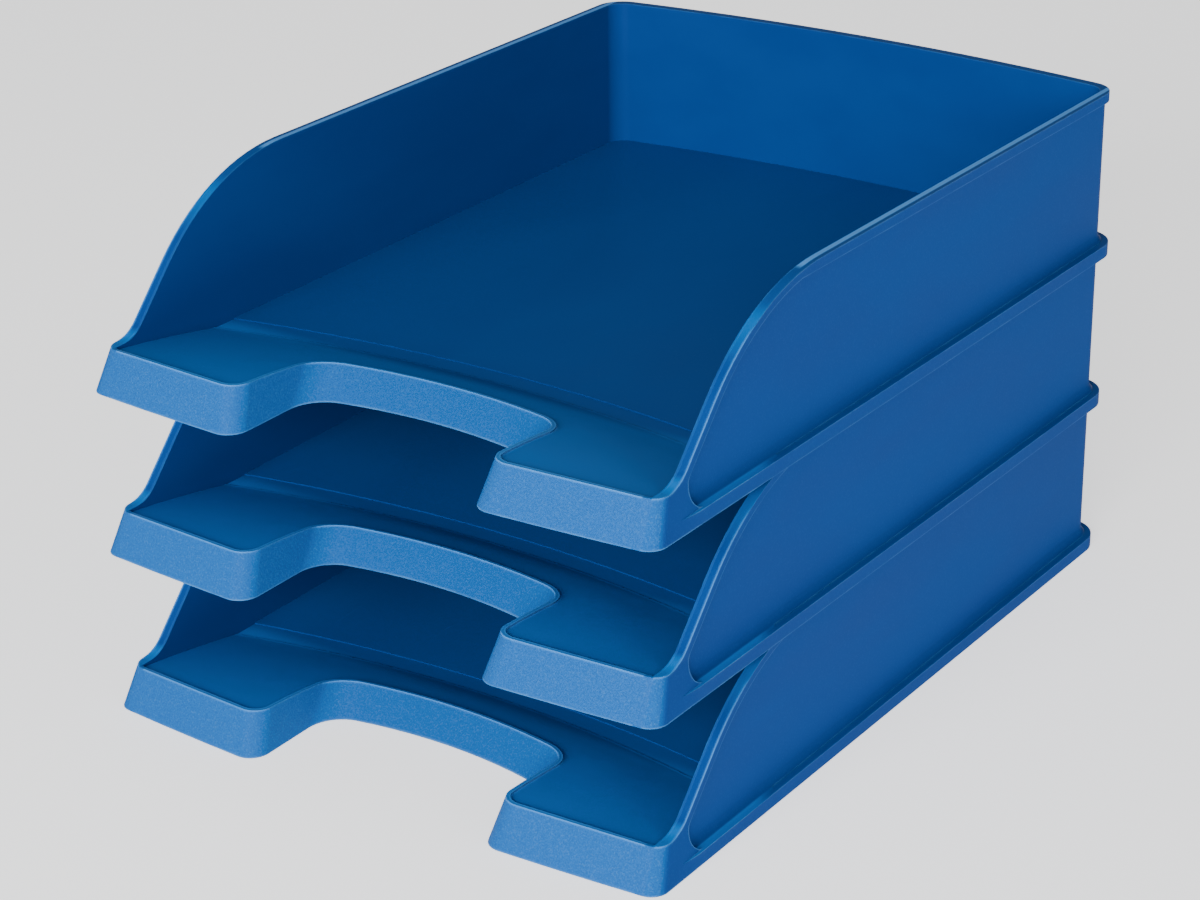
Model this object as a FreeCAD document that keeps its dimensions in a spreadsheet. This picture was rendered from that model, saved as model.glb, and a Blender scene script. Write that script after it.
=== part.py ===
import FreeCAD, Part
import math
import os
import Sketcher
from FreeCAD import Placement, Rotation, Vector

# A stack of three open-fronted A4 letter trays, each one moulding, in millimetres.
# X is to the right seen from the front, Y to the back, Z up, and the origin is the
# middle of the bottom tray's footprint, on the surface it stands on.

SIZES = {
    "width": 255.0,            # over the skirts of one tray
    "depth": 360.0,            # from the front of the blocks beside the notch to the middle of the back
    "height": 70.0,            # of one tray, skirt to rim
    "nest_depth": 3.0,         # how far a skirt drops over the rim below
    "nest_gap": 0.4,           # between a skirt and the rim inside it
    "skirt_height": 5.5,       # of the ledge round the sides and back
    "skirt_wall": 2.5,
    "ledge_run": 42.0,         # from the front to where the ledge starts to draw in
    "ledge_taper": 1.0,        # it ends this far inside the tray's width
    "bead_depth": 1.6,         # the rim stands this far proud of the side panel
    "bead_height": 4.0,
    "panel_wall": 2.4,
    "floor_top": 6.0,          # the paper lies this far above the base
    "floor_wall": 2.2,
    "back_bow": 800.0,         # radius of the bowed back
    "back_corner": 15.0,
    "front_bow": 1420.0,       # radius of the bowed front
    "front_corner": 7.0,
    "apron_height": 17.0,      # of the sloped front before the ramp trims it
    "apron_lean": 7.5,         # the front's foot stands this far ahead of its top
    "apron_depth": 84.0,       # from the front to the back of the sloped front part
    "apron_wall": 2.4,
    "wall_end": 6.0,           # from the front corner back to the front ends of the walls
    "notch_half": 53.0,        # half the finger notch's width, at its foot
    "notch_flare": 3.3,        # how much wider each side is at the top
    "notch_depth": 50.7,       # from the front to the notch's back, at its foot
    "notch_lean": 14.3,        # the notch's back leans this much over the apron's height
    "notch_bow": 200.0,
    "notch_inner_corner": 15.0,
    "notch_outer_corner": 8.0,
    "band_back": 91.7,         # from the front to the back line of the shallow band in the floor
    "band_back_bow": 586.0,
    "band_front": 82.7,        # from the front to its front line
    "band_front_bow": 490.0,
    "band_sink": 0.4,
    "base_reach": 18.7,        # how far the level base runs on past the band
    "ramp_gap": 1.2,           # floor between the band and the foot of the ramp
    "ramp_past_front": 5.0,    # how far outside the tray the ramp's two ends lie
    "ramp_past_side": 2.0,
    "ramp_middle_top": 15.2,   # ramp height under the front edge, in the middle
    "ramp_middle_crown": 3.2,
    "ramp_side_top": 17.6,
    "ramp_side_crown": 0.5,
    "lip_height": 0.8,
    "lip_width": 1.7,
    "knee_start": 114.0,       # from the front to where the rim starts to fall
    "knee_radius": 93.6,
    "fall_angle": 47.5,
    "foot_radius": 15.0,
    "foot_height": 16.0,
    "strip_width": 3.0,        # of the edge left proud along the fall
    "panel_end_radius": 8.0,
    "panel_foot_radius": 3.5,
}

ROOM = 10.0                    # how far a cutting solid reaches past what it cuts
TOUCH = 0.001                  # nearer than this counts as touching
TOP_VIEW = Rotation()
SIDE_VIEW = Rotation(Vector(1, 1, 1), 120)

BEAD_INSET = "(Sheet.skirt_wall + Sheet.nest_gap)"
PANEL_INSET = "(Sheet.skirt_wall + Sheet.nest_gap + Sheet.bead_depth)"
INNER_INSET = "(Sheet.skirt_wall + Sheet.nest_gap + Sheet.bead_depth + Sheet.panel_wall)"
OPEN_FRONT = "-(Sheet.depth / 2 + %s)" % ROOM
BASE_FRONT = "-(Sheet.depth / 2 - Sheet.band_front + Sheet.base_reach)"
KNEE_START = "-(Sheet.depth / 2 - Sheet.knee_start)"
WALL_FRONT = "-(Sheet.depth / 2 - Sheet.apron_lean - Sheet.front_corner - Sheet.wall_end)"

doc = FreeCAD.newDocument("letter_trays")
sheet = doc.addObject("Spreadsheet::Sheet", "Sheet")
for row, (alias, value) in enumerate(SIZES.items(), start=1):
    sheet.set("A%d" % row, str(value))
    sheet.setAlias("A%d" % row, alias)
doc.recompute()


def number(text):
    """The value of an expression on the sheet."""
    return float(sheet.evalExpression(text))


class Outline:
    """A closed sketch whose sizes are tied to the sheet."""

    def __init__(self, name, rotation=TOP_VIEW, at=(0, 0, 0)):
        self.sketch = doc.addObject("Sketcher::SketchObject", name)
        self.sketch.Placement = Placement(Vector(*at), rotation)

    def line(self, start, end):
        return self.sketch.addGeometry(Part.LineSegment(Vector(*start, 0), Vector(*end, 0)))

    def arc(self, centre, radius, start, end):
        """An arc from start to end, the short way round."""
        turns = [math.atan2(p[1] - centre[1], p[0] - centre[0]) for p in (start, end)]
        if (turns[1] - turns[0]) % (2 * math.pi) > math.pi:
            turns.reverse()
        circle = Part.Circle(Vector(*centre, 0), Vector(0, 0, 1), radius)
        return self.sketch.addGeometry(Part.ArcOfCircle(circle, turns[0], turns[1]))

    def join(self, first, second, kind):
        """Ties the two ends that meet, smoothly or at a corner."""
        gaps = []
        for a in (1, 2):
            for b in (1, 2):
                gap = self.sketch.getPoint(first, a) - self.sketch.getPoint(second, b)
                gaps.append((gap.Length, a, b))
        length, a, b = min(gaps)
        self.sketch.addConstraint(Sketcher.Constraint(kind, first, a, second, b))

    def tie(self, kind, where, text):
        index = self.sketch.addConstraint(Sketcher.Constraint(kind, *where, number(text)))
        self.sketch.setExpression("Constraints[%d]" % index, text)

    def measure(self, kind, geometry, end, text):
        """Ties one distance of a point from the origin, which may be negative or nought."""
        value = number(text)
        if abs(value) < TOUCH:
            axis = -2 if kind == "DistanceX" else -1
            self.sketch.addConstraint(Sketcher.Constraint("PointOnObject", geometry, end, axis))
        elif value > 0:
            self.tie(kind, (-1, 1, geometry, end), text)
        else:
            self.tie(kind, (geometry, end, -1, 1), "-(%s)" % text)

    def place(self, geometry, end, x, y):
        """Ties a point of the outline to two expressions, measured from the origin."""
        self.measure("DistanceX", geometry, end, x)
        self.measure("DistanceY", geometry, end, y)

    def rule(self, kind, geometry):
        self.sketch.addConstraint(Sketcher.Constraint(kind, geometry))


def corner(side, radius, centre_y, bow, out, up):
    """Centre of a corner arc between the line x = side and a bowed edge centred on x = 0."""
    x = abs(side) + (radius if out else -radius)
    reach = math.sqrt((bow - radius) ** 2 - x**2)
    y = centre_y + (reach if up else -reach)
    return (math.copysign(x, side), y)


def on_bow(centre, centre_y, bow, radius):
    """The point where a corner arc meets its bowed edge."""
    share = bow / (bow - radius)
    return (centre[0] * share, centre_y + (centre[1] - centre_y) * share)


def tray_outline(name, inset, front, level):
    """The tray's plan behind a straight line, moved in by an inset."""
    half = "(Sheet.width / 2 - %s)" % inset
    bow = "(Sheet.back_bow - %s)" % inset
    round_corner = "(Sheet.back_corner - %s)" % inset
    back_centre = "(Sheet.depth / 2 - Sheet.back_bow)"
    h, b, r, cy = number(half), number(bow), number(round_corner), number(back_centre)
    y = number(front)
    plan = Outline(name, at=(0, 0, number(level)))
    right, left = corner(h, r, cy, b, False, True), corner(-h, r, cy, b, False, True)
    right_bow, left_bow = on_bow(right, cy, b, r), on_bow(left, cy, b, r)
    front_line = plan.line((-h, y), (h, y))
    right_line = plan.line((h, y), (h, right[1]))
    right_arc = plan.arc(right, r, (h, right[1]), right_bow)
    back_arc = plan.arc((0, cy), b, right_bow, left_bow)
    left_arc = plan.arc(left, r, left_bow, (-h, left[1]))
    left_line = plan.line((-h, left[1]), (-h, y))
    plan.join(front_line, right_line, "Coincident")
    plan.join(left_line, front_line, "Coincident")
    chain = [right_line, right_arc, back_arc, left_arc, left_line]
    for first, second in zip(chain, chain[1:]):
        plan.join(first, second, "Tangent")
    plan.rule("Horizontal", front_line)
    plan.rule("Vertical", right_line)
    plan.rule("Vertical", left_line)
    plan.place(right_line, 1, half, front)
    plan.tie("DistanceX", (left_line, 2, -1, 1), half)
    plan.place(back_arc, 3, "0", back_centre)
    plan.tie("Radius", (back_arc,), bow)
    plan.tie("Radius", (right_arc,), round_corner)
    plan.tie("Radius", (left_arc,), round_corner)
    plan.sketch.setExpression("Placement.Base.z", level)
    return plan.sketch


def front_outline(name, inset, top):
    """The plan of the tray's front with its finger notch, at the foot or at the top of the apron."""
    lean, flare, notch_lean, side, level = ("0", "0", "0", "0", "0")
    if top:
        lean, flare, notch_lean = ("Sheet.apron_lean", "Sheet.notch_flare", "Sheet.notch_lean")
        side, level = (BEAD_INSET, "Sheet.apron_height")
    half = "(Sheet.width / 2 - %s - %s)" % (side, inset)
    bow = "(Sheet.front_bow - %s - %s)" % (lean, inset)
    block_edge = "(Sheet.notch_half + Sheet.notch_outer_corner)"
    front_centre = "(sqrt(Sheet.front_bow ^ 2 - %s ^ 2) - Sheet.depth / 2)" % block_edge
    outer = "(Sheet.front_corner - %s / 2)" % inset
    notch = "(Sheet.notch_half + %s + %s)" % (flare, inset)
    notch_bow = "(Sheet.notch_bow + %s)" % inset
    notch_centre = "(Sheet.notch_depth + %s - Sheet.depth / 2 - Sheet.notch_bow)" % notch_lean
    inner_corner = "(Sheet.notch_inner_corner + %s)" % inset
    outer_corner = "(Sheet.notch_outer_corner - %s)" % inset
    back = "-(Sheet.depth / 2 - Sheet.apron_depth)"
    plan = Outline(name, at=(0, 0, number(level)))
    h, b, cy, r = number(half), number(bow), number(front_centre), number(outer)
    n, nb, ncy = number(notch), number(notch_bow), number(notch_centre)
    ri, ro, y = number(inner_corner), number(outer_corner), number(back)
    halves = {}
    for sign in (1, -1):
        edge = corner(sign * h, r, cy, b, False, False)
        block = corner(sign * n, ro, cy, b, True, False)
        deep = corner(sign * n, ri, ncy, nb, False, True)
        side_line = plan.line((sign * h, y), (sign * h, edge[1]))
        edge_arc = plan.arc(edge, r, (sign * h, edge[1]), on_bow(edge, cy, b, r))
        front_arc = plan.arc((0, cy), b, on_bow(edge, cy, b, r), on_bow(block, cy, b, ro))
        block_arc = plan.arc(block, ro, on_bow(block, cy, b, ro), (sign * n, block[1]))
        notch_line = plan.line((sign * n, block[1]), (sign * n, deep[1]))
        deep_arc = plan.arc(deep, ri, (sign * n, deep[1]), on_bow(deep, ncy, nb, ri))
        chain = [side_line, edge_arc, front_arc, block_arc, notch_line, deep_arc]
        for first, second in zip(chain, chain[1:]):
            plan.join(first, second, "Tangent")
        plan.rule("Vertical", side_line)
        plan.rule("Vertical", notch_line)
        plan.place(front_arc, 3, "0", front_centre)
        plan.tie("Radius", (front_arc,), bow)
        plan.tie("Radius", (edge_arc,), outer)
        plan.tie("Radius", (block_arc,), outer_corner)
        plan.tie("Radius", (deep_arc,), inner_corner)
        for line, text in ((side_line, half), (notch_line, notch)):
            ends = (-1, 1, line, 1) if sign > 0 else (line, 1, -1, 1)
            plan.tie("DistanceX", ends, text)
        halves[sign] = (side_line, deep_arc, on_bow(deep, ncy, nb, ri))
    notch_arc = plan.arc((0, ncy), nb, halves[1][2], halves[-1][2])
    back_line = plan.line((-h, y), (h, y))
    for sign in (1, -1):
        plan.join(halves[sign][1], notch_arc, "Tangent")
        plan.join(halves[sign][0], back_line, "Coincident")
    plan.rule("Horizontal", back_line)
    plan.tie("DistanceY", (back_line, 1, -1, 1), "-(%s)" % back)
    plan.place(notch_arc, 3, "0", notch_centre)
    plan.tie("Radius", (notch_arc,), notch_bow)
    plan.sketch.setExpression("Placement.Base.z", level)
    return plan.sketch


def ramp_section(name, x, top, crown):
    """The ramp's outline from the side, at a distance from the middle."""
    bow = "(Sheet.band_front_bow - sqrt(Sheet.band_front_bow ^ 2 - (%s) ^ 2))" % x
    start = "-(Sheet.depth / 2 - Sheet.band_front + Sheet.ramp_gap + %s)" % bow
    end = "-(Sheet.depth / 2 + Sheet.ramp_past_front)"
    low = "-(%s)" % ROOM
    side = Outline(name, SIDE_VIEW, at=(number(x), 0, 0))
    y0, y1 = number(start), number(end)
    z0, z1, zl = number("Sheet.floor_top"), number(top), number(low)
    chord = math.hypot(y1 - y0, z1 - z0)
    sag = number(crown)
    length = "sqrt((%s - (%s)) ^ 2 + (%s - Sheet.floor_top) ^ 2)" % (end, start, top)
    radius = "((%s) ^ 2 / 8 / %s + %s / 2)" % (length, crown, crown)
    r = number(radius)
    along = Vector(y1 - y0, z1 - z0, 0) / chord
    across = Vector(along.y, -along.x, 0)
    middle = Vector((y0 + y1) / 2, (z0 + z1) / 2, 0)
    centre = middle - across * (r - sag)
    bow = side.arc((centre.x, centre.y), r, (y0, z0), (y1, z1))
    front = side.line((y1, z1), (y1, zl))
    bottom = side.line((y1, zl), (y0, zl))
    back = side.line((y0, zl), (y0, z0))
    ring = [bow, front, bottom, back, bow]
    for first, second in zip(ring, ring[1:]):
        side.join(first, second, "Coincident")
    side.rule("Vertical", front)
    side.rule("Horizontal", bottom)
    side.rule("Vertical", back)
    side.place(back, 2, start, "Sheet.floor_top")
    side.place(front, 1, end, top)
    side.measure("DistanceY", bottom, 1, low)
    side.tie("Radius", (bow,), radius)
    side.sketch.setExpression("Placement.Base.x", x)
    return side.sketch


def knee_points(inward):
    """Radius, centre and lower end of the curve where the rim starts to fall, moved in by a width."""
    turn = math.radians(number("Sheet.fall_angle"))
    radius = number("Sheet.knee_radius") - inward
    centre = (number(KNEE_START), number("Sheet.height - Sheet.knee_radius"))
    end = (centre[0] - radius * math.sin(turn), centre[1] + radius * math.cos(turn))
    return radius, centre, end


def foot_points(knee_end):
    """Start, centre and end of the curve that ends the fall."""
    turn = math.radians(number("Sheet.fall_angle"))
    radius = number("Sheet.foot_radius")
    level = number("Sheet.foot_height")
    drop = knee_end[1] - level - radius * (1 - math.cos(turn))
    start = (knee_end[0] - drop / math.tan(turn), knee_end[1] - drop)
    end = (start[0] - radius * math.sin(turn), level)
    return start, (end[0], level + radius), end


def tie_fall(side, knee_arc, slope, inward):
    """Ties the knee of the falling edge and its slope to the sheet."""
    side.place(knee_arc, 3, KNEE_START, "(Sheet.height - Sheet.knee_radius)")
    side.tie("Radius", (knee_arc,), "(Sheet.knee_radius - %s)" % inward)
    side.tie("Angle", (-1, 1, slope, 1), "Sheet.fall_angle * 1 deg")


def above_the_sides(name):
    """The side view of everything above the rim and the falling edge."""
    side = Outline(name, SIDE_VIEW)
    knee, knee_centre, knee_end = knee_points(0)
    foot_start, foot_centre, foot_end = foot_points(knee_end)
    foot = number("Sheet.foot_radius")
    y, z = -number("Sheet.depth / 2") - ROOM, number("Sheet.height")
    top = side.line((y, z + ROOM), (knee_centre[0], z + ROOM))
    back = side.line((knee_centre[0], z + ROOM), (knee_centre[0], z))
    knee_arc = side.arc(knee_centre, knee, (knee_centre[0], z), knee_end)
    slope = side.line(foot_start, knee_end)
    foot_arc = side.arc(foot_centre, foot, foot_start, foot_end)
    bottom = side.line(foot_end, (y, foot_end[1]))
    front = side.line((y, foot_end[1]), (y, z + ROOM))
    side.join(top, back, "Coincident")
    side.join(back, knee_arc, "Coincident")
    side.join(knee_arc, slope, "Tangent")
    side.join(slope, foot_arc, "Tangent")
    side.join(foot_arc, bottom, "Tangent")
    side.join(bottom, front, "Coincident")
    side.join(front, top, "Coincident")
    side.rule("Vertical", back)
    side.rule("Horizontal", top)
    side.rule("Horizontal", bottom)
    side.rule("Vertical", front)
    tie_fall(side, knee_arc, slope, "0")
    side.measure("DistanceX", back, 2, KNEE_START)
    side.measure("DistanceY", top, 1, "(Sheet.height + %s)" % ROOM)
    side.measure("DistanceX", front, 1, "-(Sheet.depth / 2 + %s)" % ROOM)
    side.measure("DistanceY", bottom, 2, "Sheet.foot_height")
    side.tie("Radius", (foot_arc,), "Sheet.foot_radius")
    return side.sketch


def panel_side(name):
    """The side view of the panel that lies behind the bead, the falling edge and the ledge."""
    side = Outline(name, SIDE_VIEW)
    knee, knee_centre, knee_end = knee_points(number("Sheet.strip_width"))
    turn = math.radians(number("Sheet.fall_angle"))
    low, high = number("Sheet.skirt_height"), number("Sheet.height - Sheet.bead_height")
    end_radius = number("Sheet.panel_end_radius")
    back_y = number("Sheet.depth / 2") + ROOM
    lift = math.sqrt(knee**2 - (high - knee_centre[1]) ** 2)
    knee_top = (knee_centre[0] - lift, high)
    corner_y = knee_end[0] - (knee_end[1] - low) / math.tan(turn)
    reach = end_radius / math.tan(turn / 2)
    end_low = (corner_y + reach, low)
    end_high = (corner_y + reach * math.cos(turn), low + reach * math.sin(turn))
    top = side.line(knee_top, (back_y, high))
    back = side.line((back_y, high), (back_y, low))
    bottom = side.line((back_y, low), end_low)
    end_arc = side.arc((end_low[0], low + end_radius), end_radius, end_low, end_high)
    slope = side.line(end_high, knee_end)
    knee_arc = side.arc(knee_centre, knee, knee_end, knee_top)
    side.join(top, back, "Coincident")
    side.join(back, bottom, "Coincident")
    side.join(bottom, end_arc, "Tangent")
    side.join(end_arc, slope, "Tangent")
    side.join(slope, knee_arc, "Tangent")
    side.join(knee_arc, top, "Coincident")
    side.rule("Horizontal", top)
    side.rule("Vertical", back)
    side.rule("Horizontal", bottom)
    tie_fall(side, knee_arc, slope, "Sheet.strip_width")
    side.measure("DistanceY", top, 1, "(Sheet.height - Sheet.bead_height)")
    side.measure("DistanceX", back, 1, "(Sheet.depth / 2 + %s)" % ROOM)
    side.measure("DistanceY", bottom, 1, "Sheet.skirt_height")
    side.tie("Radius", (end_arc,), "Sheet.panel_end_radius")
    return side.sketch


def band_plan(name):
    """The plan of the shallow band that crosses the floor between two bowed lines."""
    plan = Outline(name, at=(0, 0, number("Sheet.floor_top - Sheet.band_sink")))
    half = "(Sheet.width / 2 - %s)" % INNER_INSET
    h = number(half)
    arcs = []
    ends = []
    for line in ("back", "front"):
        bow = "Sheet.band_%s_bow" % line
        middle = "-(Sheet.depth / 2 - Sheet.band_%s + %s)" % (line, bow)
        b, cy = number(bow), number(middle)
        y = cy + math.sqrt(b**2 - h**2)
        arc = plan.arc((0, cy), b, (h, y), (-h, y))
        plan.place(arc, 3, "0", middle)
        plan.tie("Radius", (arc,), bow)
        arcs.append(arc)
        ends.append(y)
    for sign in (1, -1):
        side = plan.line((sign * h, ends[0]), (sign * h, ends[1]))
        plan.join(side, arcs[0], "Coincident")
        plan.join(side, arcs[1], "Coincident")
        plan.rule("Vertical", side)
        plan.tie("DistanceX", (-1, 1, side, 1) if sign > 0 else (side, 1, -1, 1), half)
    plan.sketch.setExpression("Placement.Base.z", "Sheet.floor_top - Sheet.band_sink")
    return plan.sketch


def ledge_plan(name):
    """The plan that draws the ledge in towards the front, where it ends flush with the front part."""
    wide = "(Sheet.width / 2 + Sheet.ledge_taper)"
    narrow = "(Sheet.width / 2 - Sheet.ledge_taper)"
    start = "-(Sheet.depth / 2 - Sheet.ledge_run)"
    back = "(Sheet.depth / 2 + %s)" % ROOM
    corners = [(wide, back), (wide, start), (narrow, WALL_FRONT)]
    corners += [("-" + x, y) for x, y in reversed(corners)]
    points = [(number(x), number(y)) for x, y in corners]
    plan = Outline(name)
    lines = [plan.line(points[count - 1], point) for count, point in enumerate(points)]
    for count, (x, y) in enumerate(corners):
        plan.join(lines[count], lines[(count + 1) % len(lines)], "Coincident")
        plan.place(lines[count], 2, x, y)
    return plan.sketch


def extrude(name, sketch, forward, reverse="0"):
    """A solid made from a sketch along its normal."""
    solid = doc.addObject("Part::Extrusion", name)
    solid.Base = sketch
    solid.DirMode = "Normal"
    solid.Solid = True
    solid.setExpression("LengthFwd", forward)
    solid.setExpression("LengthRev", reverse)
    return solid


def slab(name, inset, front, level, height):
    """The tray's plan, moved in by an inset and raised from a level."""
    return extrude(name, tray_outline(name + "_plan", inset, front, level), height)


def loft(name, sections, ruled):
    solid = doc.addObject("Part::Loft", name)
    solid.Sections = sections
    solid.Solid = True
    solid.Ruled = ruled
    return solid


def join_all(name, shapes):
    solid = doc.addObject("Part::MultiFuse", name)
    solid.Shapes = shapes
    return solid


def cut(name, base, tools):
    """The base without the tools."""
    for count, tool in enumerate(tools):
        last = count == len(tools) - 1
        solid = doc.addObject("Part::Cut", name if last else "%s_%d" % (name, count))
        solid.Base = base
        solid.Tool = tool
        base = solid
    return base


def common(name, shapes):
    solid = doc.addObject("Part::MultiCommon", name)
    solid.Shapes = shapes
    return solid


def front_block(name, inset):
    """The front part of the tray, from its foot to the apron's top, moved in by an inset."""
    foot = front_outline(name + "_foot", inset, False)
    top = front_outline(name + "_top", inset, True)
    return loft(name, [foot, top], True)


def ramp(name, rise):
    """Everything below the ramp that climbs from the band to the front edge."""
    reach = "(Sheet.width / 2 + Sheet.ramp_past_side)"
    sections = [
        ramp_section(name + "_left", "-" + reach, "(Sheet.ramp_side_top)", "Sheet.ramp_side_crown"),
        ramp_section(name + "_middle", "0", "(Sheet.ramp_middle_top)", "Sheet.ramp_middle_crown"),
        ramp_section(name + "_right", reach, "(Sheet.ramp_side_top)", "Sheet.ramp_side_crown"),
    ]
    solid = loft(name, sections, False)
    solid.setExpression("Placement.Base.z", rise)
    return solid


def panel_recess(name):
    """What is taken off the outside of the sides and back, with a soft foot along the ledge."""
    half = "(Sheet.width / 2 + %s)" % ROOM
    long = "(Sheet.depth / 2 + %s)" % ROOM
    block = doc.addObject("Part::Box", name + "_block")
    block.setExpression("Length", "2 * " + half)
    block.setExpression("Width", "2 * " + long)
    block.setExpression("Height", "Sheet.height")
    block.setExpression("Placement.Base.x", "-" + half)
    block.setExpression("Placement.Base.y", "-" + long)
    block.setExpression("Placement.Base.z", "Sheet.skirt_height")
    core = slab(name + "_core", PANEL_INSET, "-(%s + %s)" % (long, ROOM), "0", "2 * Sheet.height")
    ring = cut(name + "_ring", block, [core])
    doc.recompute()
    low = number("Sheet.skirt_height")
    radius = number("Sheet.panel_foot_radius")
    foot = []
    for count, edge in enumerate(ring.Shape.Edges, start=1):
        box = edge.BoundBox
        middle = edge.valueAt((edge.FirstParameter + edge.LastParameter) / 2)
        on_core = core.Shape.distToShape(Part.Vertex(middle))[0] < TOUCH
        if on_core and box.ZMax < low + TOUCH:
            foot.append((count, radius, radius))
    soft = doc.addObject("Part::Fillet", name + "_soft")
    soft.Base = ring
    soft.Edges = foot
    side = extrude(name + "_side", panel_side(name + "_side_view"), half, half)
    return common(name, [soft, side])


def blank(label, front, core):
    """The tray before anything is taken out: ledge, floor, walls and front."""
    ring = slab(label + "_ring", "0", WALL_FRONT, "0", "Sheet.skirt_height")
    tapered = extrude(label + "_tapered", ledge_plan(label + "_tapered_plan"), "Sheet.skirt_height")
    ledge = cut(label + "_ledge", common(label + "_skirt", [ring, tapered]), [core])
    floor = slab(label + "_floor", BEAD_INSET, BASE_FRONT, "0", "Sheet.floor_top")
    wall_block = slab(label + "_wall_block", BEAD_INSET, WALL_FRONT, "0", "Sheet.height")
    walls = cut(label + "_walls", wall_block, [core])
    return join_all(label + "_blank", [ledge, floor, walls, front])


def paper_space(label):
    """Where the paper lies: the room between the walls, above the floor and the ramp."""
    inside = slab(label + "_inside", INNER_INSET, OPEN_FRONT, "Sheet.floor_top", "Sheet.height")
    return cut(label + "_paper_space", inside, [ramp(label + "_ramp", "0")])


def under_spaces(label, core):
    """The hollows below: the seat for the rim of the tray underneath, the base and the front."""
    below = "-%s" % ROOM
    seat = slab(label + "_seat", "Sheet.skirt_wall", BASE_FRONT, below, "Sheet.nest_depth + %s" % ROOM)
    base_height = "Sheet.floor_top - Sheet.floor_wall + %s" % ROOM
    base = slab(label + "_base", INNER_INSET, BASE_FRONT, below, base_height)
    block = front_block(label + "_hollow_block", "Sheet.apron_wall")
    low_ramp = ramp(label + "_low_ramp", "-Sheet.floor_wall")
    return [seat, base, common(label + "_front_hollow", [block, core, low_ramp])]


def front_lip(label, front, core):
    """The thin lip along the front edge and round the notch."""
    edge = common(label + "_lip_band", [front, core, ramp(label + "_high_ramp", "Sheet.lip_height")])
    return cut(label + "_lip", edge, [front_block(label + "_lip_inside", "Sheet.lip_width")])


def tray(label, level):
    """One tray, as a single moulding, on its level of the stack."""
    front = front_block(label + "_front", "0")
    core = slab(label + "_core", INNER_INSET, OPEN_FRONT, "-%s" % ROOM, "Sheet.height + %s" % (2 * ROOM))
    reach = "(Sheet.width / 2 + %s)" % ROOM
    fall = extrude(label + "_fall", above_the_sides(label + "_fall_side"), reach, reach)
    band_height = "Sheet.band_sink + %s" % ROOM
    band = extrude(label + "_band", band_plan(label + "_band_plan"), band_height)
    outside = [fall, panel_recess(label + "_recess")]
    spaces = [paper_space(label), band] + under_spaces(label, core)
    shell = cut(label + "_shell", blank(label, front, core), outside + spaces)
    whole = join_all(label, [shell, front_lip(label, front, core)])
    whole.Label = label
    whole.setExpression("Placement.Base.z", "(Sheet.height - Sheet.nest_depth) * %d" % level)
    return whole


trays = [tray("tray_" + place, level) for level, place in enumerate(("bottom", "middle", "top"))]
doc.recompute()

for item in doc.Objects:
    if "Invalid" in item.State or "Error" in item.State:
        raise RuntimeError("%s is not valid: %s" % (item.Label, item.State))
for piece in trays:
    if piece.Shape.isNull() or not piece.Shape.isValid() or len(piece.Shape.Solids) != 1:
        raise RuntimeError("%s has no valid single solid" % piece.Label)

os.makedirs("parts", exist_ok=True)
for piece in trays:
    piece.Shape.exportStep("parts/%s.step" % piece.Label)
    box = piece.Shape.optimalBoundingBox(False)
    size = "%.1f x %.1f x %.1f mm" % (box.XLength, box.YLength, box.ZLength)
    print(piece.Label, size, "%.0f mm3" % piece.Shape.Volume)
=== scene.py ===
import math

import bpy
from mathutils import Matrix, Vector


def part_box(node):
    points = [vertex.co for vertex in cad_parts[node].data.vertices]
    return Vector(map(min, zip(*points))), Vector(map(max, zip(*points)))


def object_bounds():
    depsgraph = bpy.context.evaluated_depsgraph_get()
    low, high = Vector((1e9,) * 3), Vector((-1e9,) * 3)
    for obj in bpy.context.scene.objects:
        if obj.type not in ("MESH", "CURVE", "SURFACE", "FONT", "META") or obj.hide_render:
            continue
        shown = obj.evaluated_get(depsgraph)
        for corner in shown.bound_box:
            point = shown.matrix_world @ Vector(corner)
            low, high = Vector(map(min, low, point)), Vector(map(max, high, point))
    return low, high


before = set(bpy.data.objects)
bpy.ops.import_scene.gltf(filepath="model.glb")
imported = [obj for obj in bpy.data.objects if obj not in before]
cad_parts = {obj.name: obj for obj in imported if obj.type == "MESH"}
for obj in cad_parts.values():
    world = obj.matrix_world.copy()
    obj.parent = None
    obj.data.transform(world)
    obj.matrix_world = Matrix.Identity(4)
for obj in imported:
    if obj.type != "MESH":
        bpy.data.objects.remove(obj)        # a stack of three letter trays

cad_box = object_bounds()

# Colours are linear red, green, blue. Lengths are in metres.
# Steep faces lean to deep blue and level faces to moulded blue: that difference is painted shade
# and light, and the flow mottle between them is the plastic's own tone.
MOULDED_BLUE = (0.0, 0.072, 0.290)
DEEP_BLUE = (0.0, 0.042, 0.210)
FROSTED_BLUE = (0.010, 0.110, 0.365)
# Painted light on the level floor ahead of the front.
LEDGE_PAINTED_LIGHT_BLUE = (0.0, 0.160, 0.540)
# Pale speckle and edge wear, and on the edges also painted highlights.
SPECKLE_WEAR_AND_HIGHLIGHT_BLUE = (0.060, 0.200, 0.460)
# Painted highlight on the lip and rim lines.
PAINTED_HIGHLIGHT_BLUE = (0.110, 0.410, 0.980)
DUST = (0.300, 0.380, 0.480)
TABLE_SHADES = ((0.86, 0.87, 0.88), (0.90, 0.90, 0.91))
ROOM_COLOUR = (0.95, 0.97, 1.0, 1.0)
WHITE = (1.0, 1.0, 1.0, 1.0)

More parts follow.
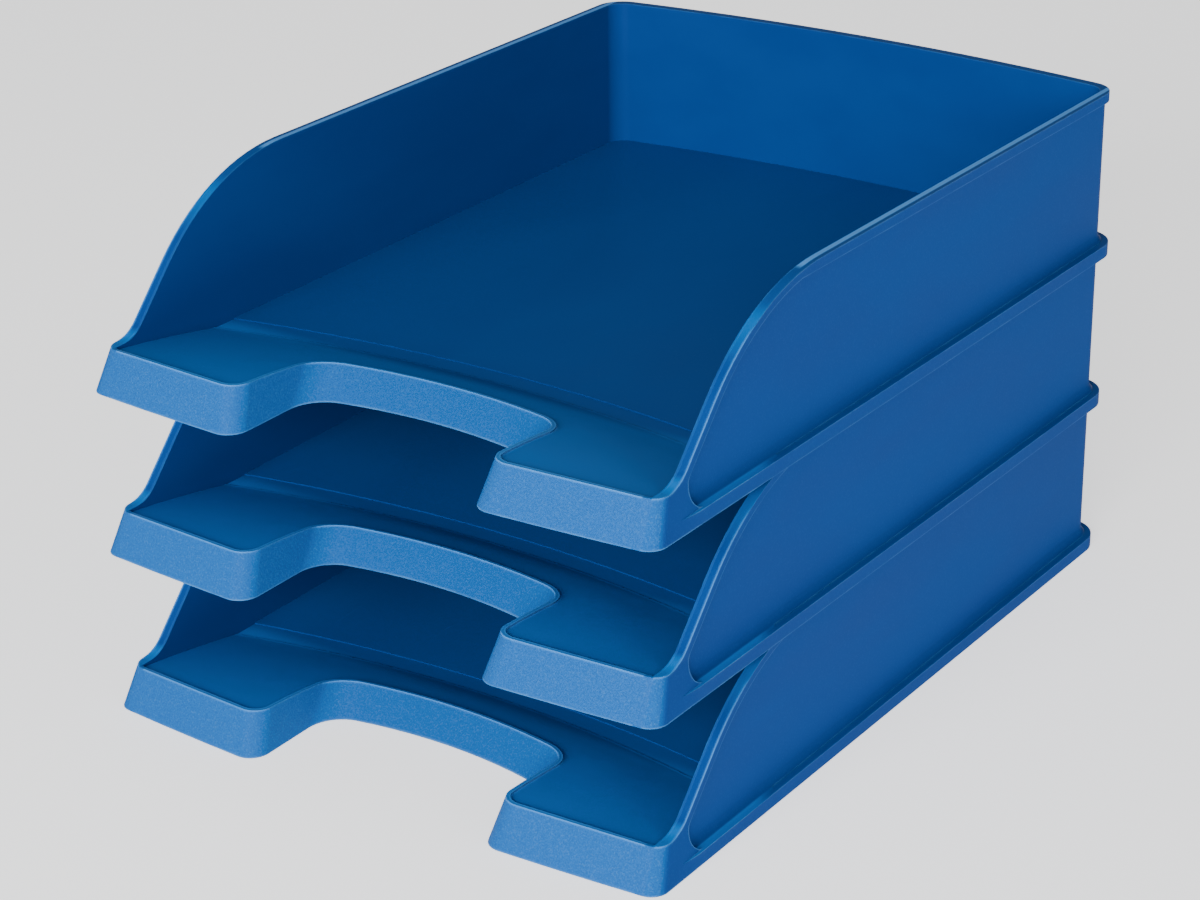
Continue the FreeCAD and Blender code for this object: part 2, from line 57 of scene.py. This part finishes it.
# Where each part of a tray lies. A pair says where it is not there yet and where it is there
# in full: across from the middle line, along from the middle of the depth, up from the foot.
SIDE_FACE_ACROSS = (0.1190, 0.1205)
OUTSIDE_ACROSS = (0.1212, 0.1222)
INSIDE_ACROSS = (0.1216, 0.1210)
WALL_FOOT_ACROSS = (0.1175, 0.1185)
RIM_LINE_FROM = (0.1205, 0.1210)
RIM_LINE_TO = (0.1232, 0.1226)
FRONT_ALONG = (-0.110, -0.116)
FRONT_FLOOR_ALONG = (-0.098, -0.110)
BEHIND_CORNER_ALONG = (-0.118, -0.110)
UNDER_FRONT_TOP_UP = (0.0195, 0.0175)
WALL_FOOT_UP = (0.0165, 0.0160)
ABOVE_FLOOR_UP = (0.0085, 0.0100)
NEAR_FLOOR_UP = (0.0100, 0.0085)
RIM_UP = (0.0690, 0.0696)

# Which way a face points, in the same way: how far its normal points up, along or outwards.
STEEP = (0.80, 0.60)
FLAT = (0.75, 0.95)
LIP_TILT = (0.20, 0.50)
RIM_TILT = (0.30, 0.70)
NOT_FORWARD = (-0.60, -0.15)
FACING_IN = (-0.100, -0.110)

# How well a face agrees with one that is rounded more: 1 on a level face, less at an edge.
EDGE_REACH = 0.0015
EDGE_AGREEMENT = (0.97, 0.80)
LIP_AGREEMENT = (0.999, 0.985)

# How large the marks on the surface are.
GRAIN_SIZE = 0.00055
SPECKLE_SIZE = 0.0008
PIT_SIZE = 0.0011
DUST_SIZE = 0.0016
ORANGE_PEEL_SIZE = 0.006
SCUFF_SIZE = 0.010
WEAR_SIZE = 0.012
FLOW_SIZE = 0.055
ALONG_FLOW = (1.0, 0.45, 1.6)
ALONG_SCUFFS = (9.0, 0.35, 9.0)

SATIN = (0.30, 0.38)       # roughness of a plain face, and what two finishes add to it
OUTSIDE_ROUGHNESS = 0.32
SPARKED_ROUGHNESS = 0.22

EDGE_ROUNDING = 0.0004
EDGE_ANGLE = 32            # degrees: sharper edges than this are rounded
TABLE_WIDTH = 14.0
TABLE_GLOW = 1.1
ROOM_LIGHT = 0.24

CAMERA_PLACE = (0.624695, -0.915154, 0.570195)
CAMERA_TURN = (35.064, 24.068, -0.816)      # azimuth, elevation and roll in degrees
LENS = 90.17                                # millimetres, as is the sensor
SENSOR = 36.0


class Value:
    """A node's output that takes part in sums as a number does."""

    def __init__(self, finish, out):
        self.finish = finish
        self.out = out

    def maths(self, operation, first, second):
        sockets = {0: first, 1: second}
        return self.finish.node("ShaderNodeMath", {"operation": operation}, sockets)

    def __add__(self, other):
        return self.maths("ADD", self, other)

    __radd__ = __add__

    def __sub__(self, other):
        return self.maths("SUBTRACT", self, other)

    def __rsub__(self, other):
        return self.maths("SUBTRACT", other, self)

    def __mul__(self, other):
        return self.maths("MULTIPLY", self, other)

    def __abs__(self):
        return self.maths("ABSOLUTE", self, 0)


class Finish:
    """A material under construction: nodes are added one by one and joined up."""

    def __init__(self, name):
        self.material = bpy.data.materials.new(name)
        self.material.use_nodes = True
        self.tree = self.material.node_tree
        self.shader = self.tree.nodes["Principled BSDF"]

    def node(self, kind, settings, sockets, out=0):
        """A node with its settings, then its sockets' values or links. Gives one output."""
        made = self.tree.nodes.new(kind)
        for setting, value in settings.items():
            setattr(made, setting, value)
        for socket, value in sockets.items():
            if isinstance(value, Value):
                self.tree.links.new(value.out, made.inputs[socket])
            else:
                made.inputs[socket].default_value = value
        return Value(self, made.outputs[out])

    def feed(self, **sockets):
        """Sets or links the shader's own sockets; an underscore stands for a space."""
        for socket, value in sockets.items():
            socket = self.shader.inputs[socket.replace("_", " ")]
            if isinstance(value, Value):
                self.tree.links.new(value.out, socket)
            else:
                socket.default_value = value

    def place(self):
        return self.node("ShaderNodeTexCoord", {}, {}, out="Object")

    def part_of(self, vector, axis):
        return self.node("ShaderNodeSeparateXYZ", {}, {"Vector": vector}, out=axis)

    def stretched(self, place, scale):
        """The place with each axis stretched, for marks that run one way."""
        return self.node("ShaderNodeMapping", {}, {"Vector": place, "Scale": scale})

    def noise(self, place, size, detail=2.0, roughness=0.5):
        """Soft mottle whose marks are about this size."""
        sockets = {"Vector": place, "Scale": 1 / size, "Detail": detail, "Roughness": roughness}
        return self.node("ShaderNodeTexNoise", {}, sockets, out="Fac")

    def pits(self, place, size):
        """Small round cells, dark in the middle, of about this size."""
        sockets = {"Vector": place, "Scale": 1 / size}
        return self.node("ShaderNodeTexVoronoi", {}, sockets, out="Distance")

    def fade(self, value, start, end, low=0.0, high=1.0):
        """Goes smoothly from low to high as the value goes from start to end."""
        settings = {"interpolation_type": "SMOOTHSTEP"}
        sockets = {"Value": value, "From Min": start, "From Max": end}
        sockets.update({"To Min": low, "To Max": high})
        return self.node("ShaderNodeMapRange", settings, sockets)

    def blend(self, first, second, flow_tone_and_painted_light):
        """One colour going over to another."""
        sockets = {0: flow_tone_and_painted_light}
        for index, colour in ((6, first), (7, second)):
            sockets[index] = colour if isinstance(colour, Value) else (*colour, 1.0)
        return self.node("ShaderNodeMix", {"data_type": "RGBA"}, sockets, out=2)

    def bump(self, height, strength, depth, under=None):
        """Relief of this depth, on top of another normal where one is given."""
        sockets = {"Height": height, "Strength": strength, "Distance": depth}
        if under:
            sockets["Normal"] = under
        return self.node("ShaderNodeBump", {}, sockets)


class TrayPlaces:
    """Shares between nought and one that say where on a tray a finish or a painted light lies."""

    def __init__(self, plastic, place, base):
        fade = plastic.fade
        across = abs(plastic.part_of(place, "X"))
        along = plastic.part_of(place, "Y")
        height = plastic.part_of(place, "Z") - base
        facing = plastic.node("ShaderNodeTexCoord", {}, {}, out="Normal")
        up = plastic.part_of(facing, "Z")
        # Well below nought on the inside of a side wall.
        outward = plastic.part_of(facing, "X") * plastic.part_of(place, "X")

        # Broad faces.
        steep = fade(abs(up), *STEEP)
        inner_wall = fade(outward, *FACING_IN)
        side_face = fade(across, *SIDE_FACE_ACROSS)
        side_face = side_face * fade(plastic.part_of(facing, "Y"), *NOT_FORWARD)
        self.front = fade(along, *FRONT_ALONG) * fade(height, *UNDER_FRONT_TOP_UP)
        self.sparked = steep * self.front * (1 - inner_wall) * (1 - side_face)
        self.outside = fade(across, *OUTSIDE_ACROSS) * steep * (1 - inner_wall)
        self.flat = fade(up, *FLAT)
        # Where the painted light on the level floor ahead of the front goes.
        self.front_floor_light = self.flat * fade(along, *FRONT_FLOOR_ALONG)

        # Edges, found by comparing the surface with one that is rounded more.
        rounded = plastic.node("ShaderNodeBevel", {"samples": 8}, {"Radius": EDGE_REACH})
        true_normal = plastic.node("ShaderNodeNewGeometry", {}, {}, out="Normal")
        settings = {"operation": "DOT_PRODUCT"}
        sockets = {0: rounded, 1: true_normal}
        agreement = plastic.node("ShaderNodeVectorMath", settings, sockets, out="Value")

        # Corners inside the tray bend the other way, so they are left as they are.
        inside = fade(across, *INSIDE_ACROSS)
        wall_foot = fade(across, *WALL_FOOT_ACROSS) * inside
        low_inside = fade(height, *NEAR_FLOOR_UP) * fade(along, *BEHIND_CORNER_ALONG) * inside
        self.edge = fade(agreement, *EDGE_AGREEMENT) * (1 - low_inside)
        self.edge = self.edge * (1 - wall_foot * fade(height, *WALL_FOOT_UP))

        # Painted highlights: pale lines along the top of the front and along the side walls' tops,
        # standing in for the gloss of their rounded edges.
        lip_highlight = fade(agreement, *LIP_AGREEMENT) * fade(along, *FRONT_ALONG)
        lip_highlight = lip_highlight * fade(up, *LIP_TILT) * fade(height, *ABOVE_FLOOR_UP)
        self.lip_highlight = lip_highlight * (1 - wall_foot)
        rim_highlight = fade(height, *RIM_UP) * fade(up, *RIM_TILT)
        self.rim_highlight = rim_highlight * fade(across, *RIM_LINE_FROM) * fade(across, *RIM_LINE_TO)


def moulded_plastic(name, base):
    """Blue polystyrene as it comes out of the mould: satin, with a sparked finish on the front.
    Some light and shade is painted into its colour.
    """
    plastic = Finish(name)
    place = plastic.place()
    fade, noise, blend = plastic.fade, plastic.noise, plastic.blend
    at = TrayPlaces(plastic, place, base)

    # Grain, flow and use; the rubbed edges also carry painted highlights.
    grain = noise(place, GRAIN_SIZE, 2.0, 0.6)
    speckle = fade(noise(place, SPECKLE_SIZE, 1.0, 0.5), 0.52, 0.72)
    pits = plastic.pits(place, PIT_SIZE)
    flow = noise(plastic.stretched(place, ALONG_FLOW), FLOW_SIZE, 3.0, 0.55)
    orange_peel = noise(place, ORANGE_PEEL_SIZE, 2.0, 0.5)
    long_marks = noise(plastic.stretched(place, ALONG_SCUFFS), SCUFF_SIZE, 4.0, 0.65)
    scuff = fade(long_marks, 0.60, 0.74) * at.flat
    dust = fade(noise(place, DUST_SIZE, 2.0, 0.7), 0.66, 0.74) * at.flat
    wear = fade(noise(place, WEAR_SIZE, 3.0, 0.6), 0.25, 0.65, 0.35, 1.0)
    edge_wear_and_highlight = at.edge * wear

    # Level faces are painted lighter than steep ones as painted light and shade, over the
    # plastic's own flow mottle.
    flow_tone_and_painted_light = fade(flow, 0.30, 0.70, 0.00, 0.20) + at.outside * 0.05 + at.flat * 0.70
    colour = blend(DEEP_BLUE, MOULDED_BLUE, flow_tone_and_painted_light)
    colour = blend(colour, FROSTED_BLUE, at.sparked * fade(grain, 0.30, 0.70, 0.55, 1.0))
    colour = blend(colour, SPECKLE_WEAR_AND_HIGHLIGHT_BLUE, at.sparked * speckle * 0.22 + at.outside * speckle * 0.05)
    # Pale rubbed edges: part wear, part painted highlight of the rounded edges, strongest at the
    # front.
    colour = blend(colour, SPECKLE_WEAR_AND_HIGHLIGHT_BLUE, edge_wear_and_highlight * (0.45 + at.front * 0.45))
    # Painted light: the level floor ahead of the front is painted paler, as if lit.
    colour = blend(colour, LEDGE_PAINTED_LIGHT_BLUE, at.front_floor_light * 0.85)
    # Painted highlights along the lip and along the side walls' rims.
    colour = blend(colour, PAINTED_HIGHLIGHT_BLUE, at.lip_highlight * 0.40 + at.rim_highlight * 0.85)
    colour = blend(colour, DUST, dust * 0.05 + scuff * 0.025)

    roughness = fade(flow, 0.25, 0.75, *SATIN) + at.outside * OUTSIDE_ROUGHNESS
    roughness = roughness + at.sparked * SPARKED_ROUGHNESS + scuff * 0.05
    roughness = roughness + fade(grain, 0.3, 0.7, -0.02, 0.02) - edge_wear_and_highlight * 0.06

    normal = plastic.bump(orange_peel, 0.10, 0.0004)
    texture = grain * (0.10 + at.outside * 0.25 + at.sparked * 0.9)
    normal = plastic.bump(texture, 0.35, 0.00022, normal)
    normal = plastic.bump(pits * at.sparked, 0.20, 0.00020, normal)
    plastic.feed(Base_Color=colour, Roughness=roughness, Normal=normal)
    plastic.feed(IOR=1.5, Specular_IOR_Level=0.06)
    return plastic.material


def ease_edges(tray):
    """The small rounding that a mould leaves on every outside and inside edge."""
    weld = tray.modifiers.new("closed skin", "WELD")
    weld.merge_threshold = 1e-5
    rounding = tray.modifiers.new("eased edges", "BEVEL")
    rounding.width = EDGE_ROUNDING
    rounding.segments = 2
    rounding.limit_method = "ANGLE"
    rounding.angle_limit = math.radians(EDGE_ANGLE)
    # The large faces decide how a small rounding beside them is shaded.
    shading = tray.modifiers.new("even shading", "WEIGHTED_NORMAL")
    shading.mode = "FACE_AREA"
    shading.weight = 90


def finish_trays():
    for name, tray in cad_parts.items():
        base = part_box(name)[0].z
        label = name.replace("tray_", "") + " tray plastic"
        tray.material_slots[0].material = moulded_plastic(label, base)
        ease_edges(tray)


def floor():
    """A wide pale table top."""
    bpy.ops.mesh.primitive_plane_add(size=TABLE_WIDTH, location=(0.0, 0.0, 0.0))
    table = bpy.context.object
    table.name = "table"
    paper = Finish("pale table")
    mottle = paper.noise(paper.place(), 0.4, 2.0)
    shades = paper.blend(*TABLE_SHADES, mottle)
    paper.feed(Base_Color=shades, Roughness=0.9)
    paper.feed(Emission_Color=WHITE, Emission_Strength=TABLE_GLOW)
    table.data.materials.append(paper.material)


def direction(azimuth, elevation):
    """From the object outwards, by angles in radians; nought is the front."""
    level = math.cos(elevation)
    return Vector((math.sin(azimuth) * level, -math.cos(azimuth) * level, math.sin(elevation)))


def lamp(name, azimuth, elevation, distance, width, height, power):
    """A soft box that faces the middle of the stack."""
    low, high = cad_box
    out = direction(math.radians(azimuth), math.radians(elevation))
    light = bpy.data.lights.new(name, "AREA")
    light.shape = "RECTANGLE"
    light.size, light.size_y = width, height
    light.energy = power
    box = bpy.data.objects.new(name, light)
    box.location = (low + high) / 2 + out * distance
    box.rotation_mode = "QUATERNION"
    box.rotation_quaternion = out.to_track_quat("Z", "Y")
    bpy.context.collection.objects.link(box)


def studio():
    world = bpy.data.worlds.new("pale room")
    bpy.context.scene.world = world
    world.use_nodes = True
    sky = world.node_tree.nodes["Background"]
    sky.inputs["Color"].default_value = ROOM_COLOUR
    sky.inputs["Strength"].default_value = ROOM_LIGHT
    lamp("front box", azimuth=12, elevation=17, distance=2.2, width=1.6, height=0.8, power=74)
    lamp("side box", azimuth=85, elevation=30, distance=2.4, width=1.2, height=1.0, power=8)


def camera():
    azimuth, elevation, roll = (math.radians(angle) for angle in CAMERA_TURN)
    back = direction(azimuth, elevation)
    level = Vector((0, 0, 1)).cross(back).normalized()
    upright = back.cross(level)
    right = level * math.cos(roll) + upright * math.sin(roll)
    up = upright * math.cos(roll) - level * math.sin(roll)
    view = bpy.data.cameras.new("camera")
    view.sensor_width = SENSOR
    view.lens = LENS
    stand = bpy.data.objects.new("camera", view)
    bpy.context.collection.objects.link(stand)
    turn = Matrix((right, up, back)).transposed().to_4x4()
    stand.matrix_world = Matrix.Translation(Vector(CAMERA_PLACE)) @ turn
    bpy.context.scene.camera = stand


finish_trays()
floor()
studio()
camera()
